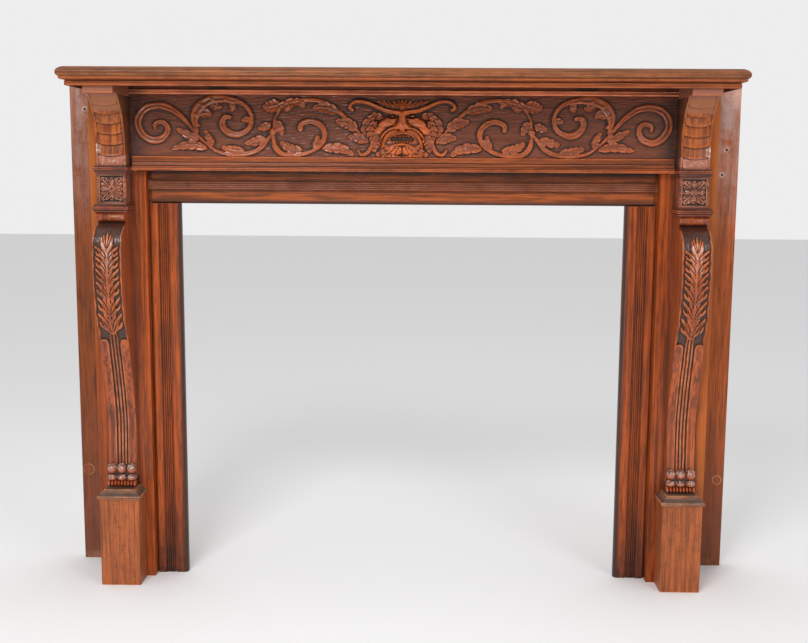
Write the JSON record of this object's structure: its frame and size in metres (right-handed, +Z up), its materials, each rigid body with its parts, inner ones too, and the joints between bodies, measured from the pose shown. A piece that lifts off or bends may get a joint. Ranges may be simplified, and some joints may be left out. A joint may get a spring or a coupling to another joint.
{
  "type": "fireplace mantel",
  "caption": "Carved oak fireplace mantel with a moulded shelf, scroll frieze with a mask, cabriole columns on plinths and a reeded frame round the fire opening.",
  "frame": {"origin": "on the floor, in the middle of the overall width and depth", "axes": "+X along the shelf to the viewer's right, +Y towards the wall, +Z up"},
  "size_m": [1.648, 0.306, 1.2315],
  "materials": {
    "polished": "old varnished oak, orange brown",
    "carved": "varnished carved oak with dark recesses",
    "plinth": "worn varnished oak",
    "dull": "dull oak with plaster marks"
  },
  "bodies": {
    "root": {"shelf": "polished", "shelf_moulding_front": "polished", "shelf_moulding_left": "polished", "shelf_moulding_right": "polished", "frieze_panel": "carved", "frieze_top_strip": "polished", "frieze_lower_rail": "polished", "lintel": "polished", "jamb_left": "polished", "jamb_right": "polished", "pilaster_left": "polished", "pilaster_right": "polished", "pilaster_return_left": "dull", "pilaster_return_right": "dull", "back_board_left": "dull", "back_board_right": "dull", "plinth_left": "plinth", "plinth_right": "plinth", "plinth_cap_left": "plinth", "plinth_cap_right": "plinth", "leg_left": "carved", "leg_right": "carved", "lower_cap_left": "carved", "lower_cap_right": "carved", "rosette_block_left": "carved", "rosette_block_right": "carved", "upper_cap_left": "carved", "upper_cap_right": "carved", "corbel_left": "carved", "corbel_right": "carved"}
  },
  "joints": []
}
